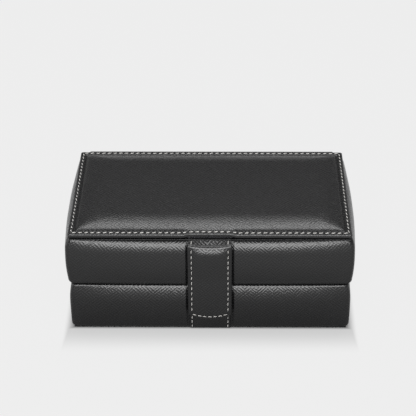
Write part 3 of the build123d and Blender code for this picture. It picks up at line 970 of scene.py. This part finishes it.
# Carcass boards, glides and the sheet underneath
# Fibreboard glued into a case, wrapped in black paper where it shows. The drawer runs on two strips of
# nylon tape, and a sheet of black felt under the case keeps it from scratching a table.
board_rounding = 0.3 * mm
glide_rounding = 0.2 * mm
sheet_rounding = 0.4 * mm
for name in ("base_board", "side_wall_left", "side_wall_right", "back_wall", "shelf", "upper_front_board"):
    merged_copy(name, board_rounding, black_board, "case_board", "case")
merged_copy("lid_board", board_rounding, black_board, "case_board", "lid")


def rubbed_surface(name, code, grain, bright, dull, metallic=0.0):
    """One even colour with a shine that handling or plating has left a little uneven, in small patches."""
    material, tree, place, shader = new_material(name, code)
    wear = add_node(tree, "TexNoise", {"Vector": place, "Scale": 1 / grain, "Detail": 3.0})
    haze = add_node(tree, "MapRange", {"Value": wear, "To Min": bright, "To Max": dull})
    feed(shader, {"Base Color": linear(code), "Roughness": haze, "Metallic": metallic})
    return material


# Nylon is pale and waxy, and the drawer has polished it in patches.
nylon_tape = rubbed_surface("nylon_glide_tape", "#b9b7b0", grain=4 * mm, bright=0.3, dull=0.6)
for side in ("left", "right"):
    merged_copy(f"drawer_glide_{side}", glide_rounding, nylon_tape, "nylon_glide", "case")
# Felt is close to black and takes hardly any sheen.
felt_nap = {"sheen": 0.1, "fibre": 0.6 * mm, "nap": 12 * mm}
black_felt = napped_cloth("black_felt", "#121213", "#1d1d1f", **felt_nap)
merged_copy("base_sheet", sheet_rounding, black_felt, "base_felt", "case")

# Magnet, plate and stiffener of the catch
# A flat nickel-plated magnet is sealed in the flap beside a card stiffener, and a plated steel disc in
# the tab's back holds it. Only their edges would show if the leather were cut open.
# Plating has a grey metal shine with a slight haze, and the card is brown, with coarse flecks.
plating = {"grain": 0.6 * mm, "bright": 0.22, "dull": 0.4, "metallic": 1.0}
nickel_plate = rubbed_surface("nickel_plated_steel", "#b8b6b0", **plating)
pressed_card = bonded_board("pressed_card", "#7d7162", "#96897a", speck=1.0 * mm)
sealed_in = {"flap_magnet": nickel_plate, "catch_plate": nickel_plate, "flap_stiffener": pressed_card}
for name, material in sealed_in.items():
    nodes[name].data.materials.clear()
    nodes[name].data.materials.append(material)

# Watch pillows
# Each is a sewn bag of grey velvet over stuffing, with an oval panel let in at both ends. The stuffing
# rounds it out, the seams round the end panels draw in, and it rests flat on the floor of its slot.
pillow_sunk = 0.9
pillow_swell = 2.2 * mm
pillow_sides = 48
pillow_rings = 25
oval_power = 2.8
end_draw = 0.2
voxel = 4.0 * mm
cloth_frames = 20
cloth_pressure = 4.0
seam_share = 0.80
seam_width = 0.05
seam_depth = 0.05
gather_share = 0.7
gather_width = 0.14
gather_depth = 0.012
gather_count = 26
floor_share = 0.985


def pillow_shape(middle, half):
    """The start of a pillow: an oval |y|^p + |z|^p = 1 carried across the slot and drawn in at both ends,
    where its half axes fall off as a circle does, with a row of points at the middle of each end."""
    turn = np.linspace(0, 2 * math.pi, pillow_sides + 1)[:-1]
    along = np.linspace(-1, 1, pillow_rings)[:, None]
    drawn = 1 - end_draw + end_draw * np.sqrt(np.clip(1 - along**2, 0, 1))
    power = 2 / oval_power
    y = np.sign(np.cos(turn)) * np.abs(np.cos(turn)) ** power * half[1] * drawn
    z = np.sign(np.sin(turn)) * np.abs(np.sin(turn)) ** power * half[2] * drawn
    side = np.stack(np.broadcast_arrays(along * half[0], y, z), -1) + middle
    ends = side[[0, -1]].copy()
    ends[..., 1:] = middle[1:]
    return np.concatenate([ends[:1], side, ends[1:]])


def read_points(piece):
    """The points of a piece's mesh as an array."""
    points = np.empty(len(piece.data.vertices) * 3, np.float32)
    piece.data.vertices.foreach_get("co", points)
    return points.reshape(-1, 3).astype(float)


def write_points(mesh, points):
    """Puts an array of points into a mesh."""
    mesh.vertices.foreach_set("co", points.astype(np.float32).ravel())


def apply_modifiers(piece):
    """Puts what the modifiers make of a piece into its mesh, and removes them."""
    shown = piece.evaluated_get(bpy.context.evaluated_depsgraph_get())
    mesh = bpy.data.meshes.new_from_object(shown)
    piece.modifiers.clear()
    piece.data = mesh


def stuffed(piece, swell):
    """Lets air pressure swell a closed cloth piece: voxel remesh, cloth with no gravity, then each point's
    way is cut to the swell, and the cloth is smoothed by one subdivision."""
    remesh = piece.modifiers.new("even", "REMESH")
    remesh.mode = "VOXEL"
    remesh.voxel_size = voxel
    apply_modifiers(piece)
    before = read_points(piece)
    cloth = piece.modifiers.new("cloth", "CLOTH")
    cloth.settings.use_pressure = True
    cloth.settings.uniform_pressure_force = cloth_pressure
    cloth.settings.effector_weights.gravity = 0.0
    cloth.settings.quality = 6
    cloth.point_cache.frame_end = cloth_frames
    for frame_number in range(1, cloth_frames + 1):
        bpy.context.scene.frame_set(frame_number)
    apply_modifiers(piece)
    bpy.context.scene.frame_set(1)
    way = read_points(piece) - before
    length = np.linalg.norm(way, axis=1)[:, None]
    write_points(piece.data, before + way * np.minimum(1, swell / np.maximum(length, 1e-9)))
    smooth = piece.modifiers.new("smooth", "SUBSURF")
    smooth.levels = 1
    smooth.render_levels = 1
    apply_modifiers(piece)


def box_middle(node):
    """The middle of a CAD node's box, and half its size."""
    low, high = (np.array(corner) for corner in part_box(node))
    return (low + high) / 2, (high - low) / 2


middle, half = box_middle("watch_pillow_1")
start = pillow_shape(middle, half * pillow_sunk)
first_pillow = grid_piece("velvet_bag", start, ring_girth(start), travelled(start, 0)[:, :1], ring=True)
merge_doubles(first_pillow)
stuffed(first_pillow, pillow_swell)
part = (read_points(first_pillow) - middle) / half
from_middle = np.abs(part[:, 0])
seam = bell(from_middle - seam_share, seam_width)
round_bag = np.arctan2(part[:, 2], part[:, 1])
gathers = bell(from_middle - gather_share, gather_width) * np.sin(round_bag * gather_count)
part[:, 1:] *= (1 - seam_depth * seam - gather_depth * gathers)[:, None]
part = np.clip(part, -1, 1)
part[:, 2] = np.maximum(part[:, 2], -floor_share)
first_pillow.data.shade_smooth()
# Velvet is dark where one looks into the pile, and pale where the cloth turns away.
velvet_nap = {"sheen": 0.6, "fibre": 0.6 * mm, "nap": 14 * mm}
grey_velvet = napped_cloth("grey_velvet", "#5d5d61", "#7c7c81", **velvet_nap)
# Every other pillow is the same bag turned end for end.
for number in (1, 2, 3, 4):
    middle, half = box_middle(f"watch_pillow_{number}")
    mesh = first_pillow.data.copy()
    turned = number % 2 == 0
    write_points(mesh, part * half * [-1 if turned else 1, 1, 1] + middle)
    if turned:
        mesh.flip_normals()
    pillow = placed(f"velvet_pillow_{number}", mesh)
    finish_piece(pillow, grey_velvet, "velvet_pillow", "case", f"watch_pillow_{number}")
bpy.data.objects.remove(first_pillow)

# Floor
# The box stands on a plain pale sweep, which takes a soft shadow close to the box and is plain white
# further off. Close to the box the sweep also turns to its own grey, which is a painted shadow added to
# the real one. The box mirrors that white in its sides and back, and more weakly in its front.
floor_size = 6.0
pale_floor, tree, place, shader = new_material("pale_floor", "#909090")
feed(shader, {"Base Color": linear("#909090"), "Roughness": 0.9, "Specular IOR Level": 0.0})
white = add_node(tree, "Emission", {"Color": linear("#efefef"), "Strength": 1.03})
path = add_node(tree, "LightPath", {})
axes = add_node(tree, "SeparateXYZ", {0: place})
sideways = add_node(tree, "Math", {0: axes.outputs["X"]}, operation="ABSOLUTE")
shares = {
    "camera": path.outputs["Is Camera Ray"],
    "through": path.outputs["Is Transmission Ray"],
    "glossy": path.outputs["Is Glossy Ray"],
}
# How much white the floor holds along one axis: it grows from least to most between two places in mm.
# Where little is held, next to the box, the floor's grey is painted shadow as well as real shadow.
fades = (
    ("beside", sideways, 124, 136, 0, 0.94, "SMOOTHSTEP"),
    ("at_foot", axes.outputs["Y"], -72.8, -77.2, 0, 0.6, "SMOOTHSTEP"),
    ("ahead", axes.outputs["Y"], -76, -114, 0, 0.34, "SMOOTHSTEP"),
    ("behind", axes.outputs["Y"], -30, 30, 0, 0.94, "SMOOTHSTEP"),
    ("far_ahead", axes.outputs["Y"], -90, -330, 0.03, 0.5, "LINEAR"),
    ("far_beside", sideways, 136, 180, 0, 1, "LINEAR"),
    ("far_behind", axes.outputs["Y"], 90, 150, 0, 1, "LINEAR"),
    ("past_front", axes.outputs["Y"], -120, 20, 0, 1, "LINEAR"),
)
for name, value, near, far, least, most, curve in fades:
    limits = {"From Min": near * mm, "From Max": far * mm, "To Min": least, "To Max": most}
    shares[name] = add_node(tree, "MapRange", {"Value": value, **limits}, interpolation_type=curve)
joins = (
    ("in_front", "ADD", "at_foot", "ahead"),
    ("away", "MAXIMUM", "in_front", "behind"),
    ("clear", "MAXIMUM", "beside", "away"),
    ("far_round", "MAXIMUM", "far_beside", "far_behind"),
    ("backdrop", "MULTIPLY", "far_round", "past_front"),
    ("mirror_share", "MAXIMUM", "backdrop", "far_ahead"),
    ("mirrored", "MULTIPLY", "glossy", "mirror_share"),
    ("straight", "MAXIMUM", "camera", "through"),
    ("seen", "MAXIMUM", "straight", "mirrored"),
    ("kept_white", "MULTIPLY", "seen", "clear"),
)
for name, way, first, second in joins:
    shares[name] = add_node(tree, "Math", {0: shares[first], 1: shares[second]}, operation=way)
mixed = add_node(tree, "MixShader", {0: shares["kept_white"], 1: shader, 2: white})
feed(tree.nodes["Material Output"], {"Surface": mixed})
bpy.ops.mesh.primitive_plane_add(size=floor_size)
floor = bpy.context.object
floor.name = "floor"
floor.data.materials.append(pale_floor)

# Lights
# A large soft box hangs in front and above, a second one behind and above, a weak one stands low in front
# and another at the left, so that the leather shows long soft highlights. The dim room brightens upwards,
# and behind the box its horizon is as white as the sweep in what the leather mirrors.
lamps = (
    ("front_soft_box", (0, -1.5, 0.98), 0.05, 1.7, 1.2, 31),
    ("back_soft_box", (0, 0.45, 1.3), 0.1, 1.3, 0.5, 8),
    ("low_front_soft_box", (0, -1.7, 0.42), 0.05, 1.3, 0.6, 2.2),
    ("left_soft_box", (-1.5, -0.2, 0.45), 0.05, 0.9, 1.2, 4),
)
for name, spot, target_level, width, tall, watts in lamps:
    lamp = bpy.data.lights.new(name, "AREA")
    lamp.shape = "RECTANGLE"
    lamp.size = width
    lamp.size_y = tall
    lamp.energy = watts
    light = placed(name, lamp)
    light.location = spot
    aim = Vector((0, 0, target_level)) - Vector(spot)
    light.rotation_euler = aim.to_track_quat("-Z", "Y").to_euler()

world = bpy.data.worlds.new("studio")
bpy.context.scene.world = world
world.use_nodes = True
tree = world.node_tree
room = add_node(tree, "TexCoord", {})
axes = add_node(tree, "SeparateXYZ", {0: room.outputs["Generated"]})
rising = {"Value": axes.outputs["Z"], "From Max": 0.9, "To Min": 0.07, "To Max": 0.245}
low = {"Value": axes.outputs["Z"], "From Min": 0.16, "From Max": 0.04, "To Max": 0.8}
rear = {"Value": axes.outputs["Y"], "From Min": -0.1, "From Max": 0.3}
rising, low, rear = (add_node(tree, "MapRange", limits) for limits in (rising, low, rear))
horizon = add_node(tree, "Math", {0: low, 1: rear}, operation="MULTIPLY")
glossy = add_node(tree, "LightPath", {}).outputs["Is Glossy Ray"]
strength = add_node(tree, "Math", {0: horizon, 1: glossy, 2: rising}, operation="MULTIPLY_ADD")
feed(tree.nodes["Background"], {"Color": (1.0, 1.0, 1.0, 1.0), "Strength": strength})

# Camera
# It stands 1.4 m from the box, nearly straight in front of it, and looks 32 degrees down. It is rolled and
# turned by under a degree, as the photograph was taken.
lens_pixels = 1478
picture_pixels = 416
sensor = 36
pitch = math.radians(31.84)
roll = math.radians(-0.37)
turned = math.radians(-0.92)
camera_place = Vector((-2.5, -1178.1, 815.9)) * mm
right = Vector((1, 0, 0))
up = Vector((0, math.sin(pitch), math.cos(pitch)))
back = Vector((0, -math.cos(pitch), math.sin(pitch)))
rolled_right = right * math.cos(roll) + up * math.sin(roll)
rolled_up = up * math.cos(roll) - right * math.sin(roll)
axes = Matrix((rolled_right, rolled_up, back)).transposed().to_4x4()
camera_data = bpy.data.cameras.new("camera")
camera_data.sensor_width = sensor
camera_data.lens = sensor * lens_pixels / picture_pixels
camera_data.clip_end = 20
camera = placed("camera", camera_data)
camera.matrix_world = Matrix.Rotation(-turned, 4, "Z") @ Matrix.Translation(camera_place) @ axes
bpy.context.scene.camera = camera
bpy.context.scene.view_settings.view_transform = "Standard"
